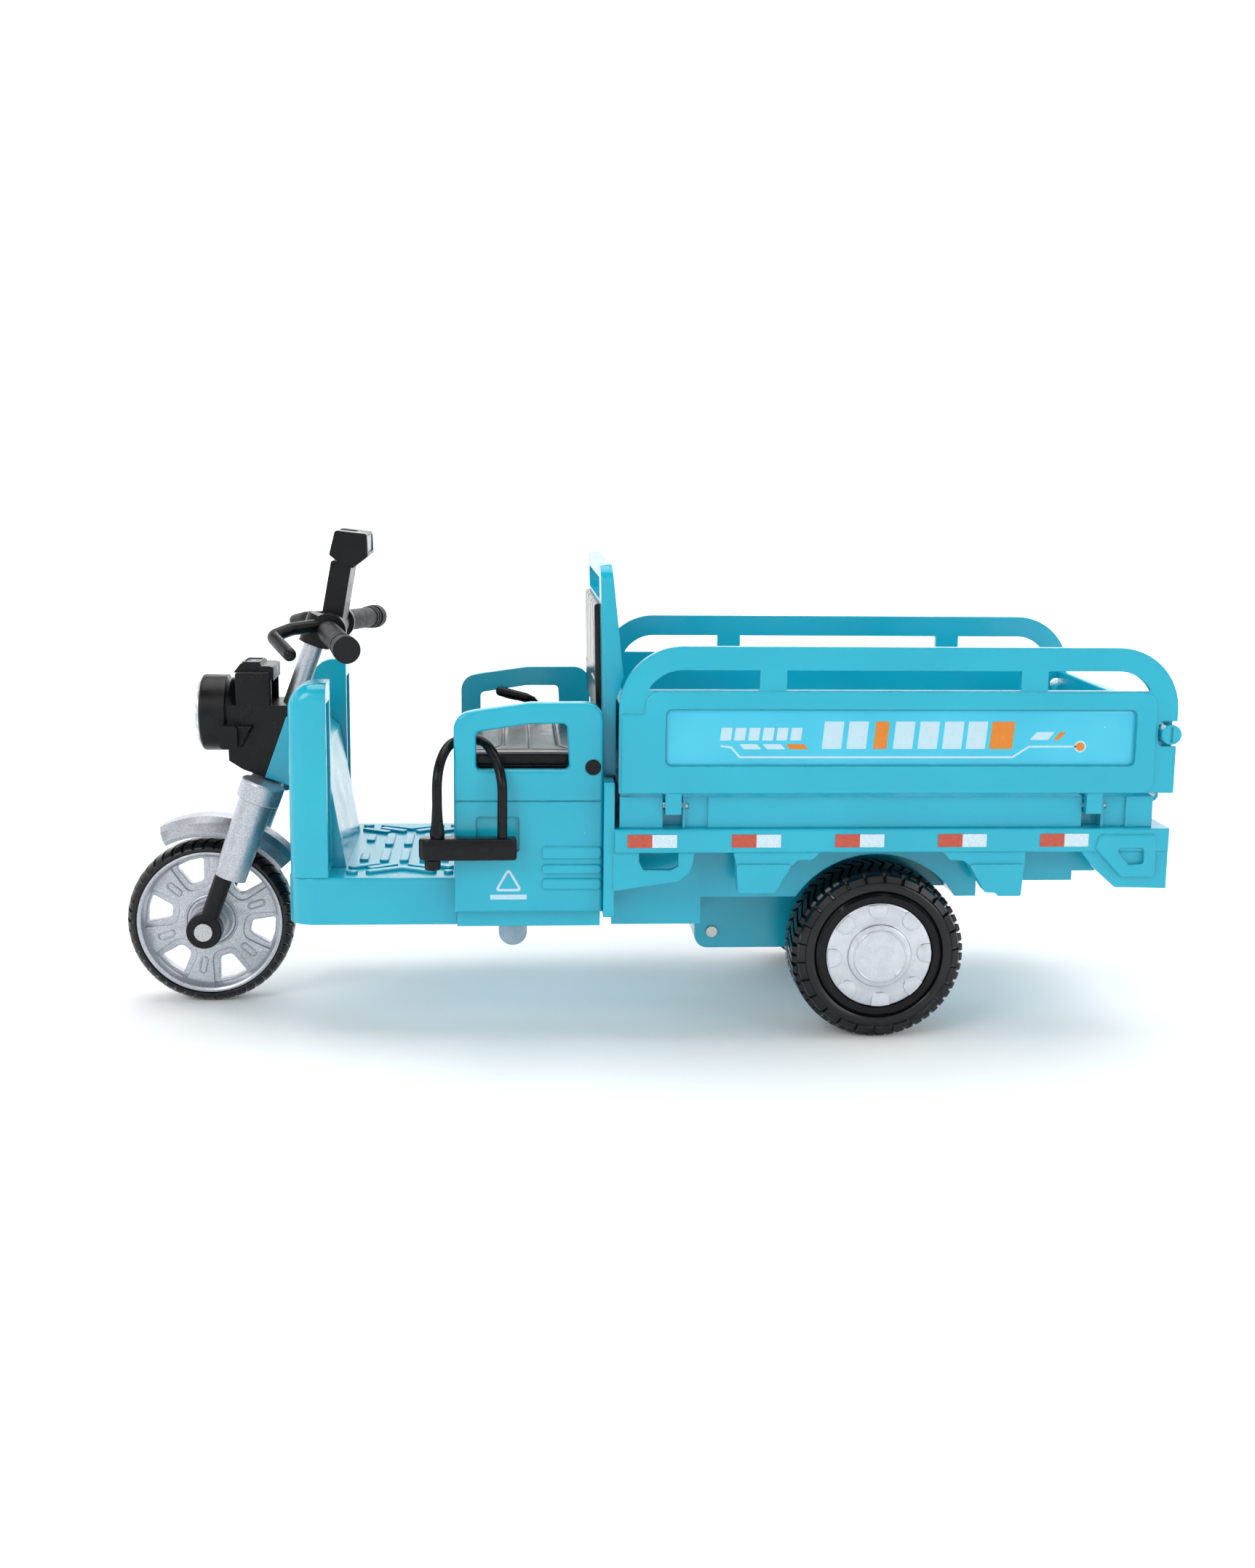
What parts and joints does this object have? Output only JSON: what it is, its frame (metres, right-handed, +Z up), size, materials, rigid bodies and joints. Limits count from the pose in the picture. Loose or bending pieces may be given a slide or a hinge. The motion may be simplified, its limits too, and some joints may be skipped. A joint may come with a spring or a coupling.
{
  "type": "toy cargo tricycle",
  "caption": "Toy cargo tricycle with steerable fork, push-and-go rear axle, lifting seat, fold-down bed sides and tailgate, and a small lock.",
  "frame": {"origin": "on the floor, midway along the overall length, on the centre plane", "axes": "+X rearwards along the model, +Y to the vehicle's right, +Z up"},
  "size_m": [0.2716, 0.1004, 0.1281],
  "materials": {
    "teal": "moulded ABS, glossy",
    "black": "moulded ABS, satin",
    "pad": "moulded ABS, glossy, quilted",
    "silver": "silver lacquer over moulded plastic",
    "rubber_grip": "matt",
    "tyre": "moulded rubber",
    "steel": "drawn",
    "gear_plastic": "acetal",
    "grey_plastic": "moulded",
    "reflector_red": "printed film",
    "reflector_white": "printed film",
    "lock_plastic": "moulded PVC"
  },
  "bodies": {
    "root": {"cargo_bed": "teal", "side_hinge_pins": "steel", "gate_hinge_pins": "steel", "chassis_frame": "teal", "underbody": "teal", "reflectors_red": "reflector_red", "reflectors_white": "reflector_white", "gearbox_left": "teal", "gearbox_right": "teal", "gearbox_screws": "steel", "deck_screws": "steel", "idler_shaft": "steel", "floorboard": "teal", "leg_shield": "teal", "seat_box": "teal", "armrest_left": "teal", "armrest_right": "teal", "seat_back": "teal", "seat_back_pad": "pad", "brake_lever_bracket": "black", "floor_lug": "grey_plastic", "steering_head": "teal", "lamp_housing": "black", "lamp_lens": "silver"},
    "side_left": {"drop_side_left": "teal"},
    "side_right": {"drop_side_right": "teal"},
    "gate": {"tailgate": "teal"},
    "rear_wheels": {"rear_axle": "steel", "axle_gear": "gear_plastic", "rear_tyre_left": "tyre", "rear_tyre_right": "tyre", "rear_rim_left": "black", "rear_rim_right": "black", "hubcap_left": "silver", "hubcap_right": "silver"},
    "idler": {"idler_gears": "gear_plastic"},
    "inertia_wheel": {"flywheel": "steel"},
    "seat_lid": {"seat_base": "black", "seat_cushion": "pad"},
    "parking_brake": {"brake_lever": "black"},
    "steering": {"fork_crown": "silver", "fork_tubes": "silver", "fork_lower_legs": "black", "front_axle": "steel", "front_fender": "silver", "steering_stem": "silver", "handlebar": "black", "grip_left": "rubber_grip", "grip_right": "rubber_grip", "display_hood": "black", "display_window": "silver"},
    "front_wheel": {"front_tyre": "tyre", "front_rim": "silver"},
    "lock": {"lock_shackle": "lock_plastic"},
    "lock_body": {"lock_bar": "lock_plastic", "lock_key": "lock_plastic"}
  },
  "joints": [
    {"name": "side_left_fold", "type": "hinge", "parent": "root", "child": "side_left", "pos_m": [0.05945, -0.0439, 0.0617], "axis": [1, 0, 0], "range_deg": [0, 90]},
    {"name": "side_right_fold", "type": "hinge", "parent": "root", "child": "side_right", "pos_m": [0.05945, 0.0439, 0.0617], "axis": [-1, 0, 0], "range_deg": [0, 90]},
    {"name": "gate_fold", "type": "hinge", "parent": "root", "child": "gate", "pos_m": [0.13285, 0, 0.0633], "axis": [0, 1, 0], "range_deg": [0, 115]},
    {"name": "rear_axle_spin", "type": "hinge", "parent": "root", "child": "rear_wheels", "pos_m": [0.06215, 0, 0.0224], "axis": [0, 1, 0], "continuous": true},
    {"name": "idler_spin", "type": "hinge", "parent": "root", "child": "idler", "pos_m": [0.05341, 0, 0.02875], "axis": [0, 1, 0], "continuous": true},
    {"name": "flywheel_spin", "type": "hinge", "parent": "root", "child": "inertia_wheel", "pos_m": [0.04298, 0, 0.03154], "axis": [0, 1, 0], "continuous": true},
    {"name": "seat_lift", "type": "hinge", "parent": "root", "child": "seat_lid", "pos_m": [-0.01155, 0, 0.0711], "axis": [0, 1, 0], "range_deg": [0, 72]},
    {"name": "brake_pull", "type": "hinge", "parent": "root", "child": "parking_brake", "pos_m": [-0.01855, 0.0367, 0.0706], "axis": [0, 1, 0], "range_deg": [-12, 12]},
    {"name": "steer", "type": "hinge", "parent": "root", "child": "steering", "pos_m": [-0.11213, 0, 0.02192], "axis": [0.342, 0, 0.9397], "range_deg": [-30, 30]},
    {"name": "front_wheel_spin", "type": "hinge", "parent": "steering", "child": "front_wheel", "pos_m": [-0.11345, 0, 0.0224], "axis": [0, 1, 0], "continuous": true},
    {"name": "lock_swing", "type": "hinge", "parent": "root", "child": "lock", "pos_m": [-0.04205, -0.0404, 0.0756], "axis": [-1, 0, 0], "range_deg": [0, 20]},
    {"name": "lock_release", "type": "slide", "parent": "lock", "child": "lock_body", "axis": [0, 0, -1], "range_m": [0, 0.012]}
  ],
  "couplings": [
    {"joint": "idler_spin", "follows": "rear_axle_spin", "ratio": -2},
    {"joint": "flywheel_spin", "follows": "rear_axle_spin", "ratio": 4}
  ]
}
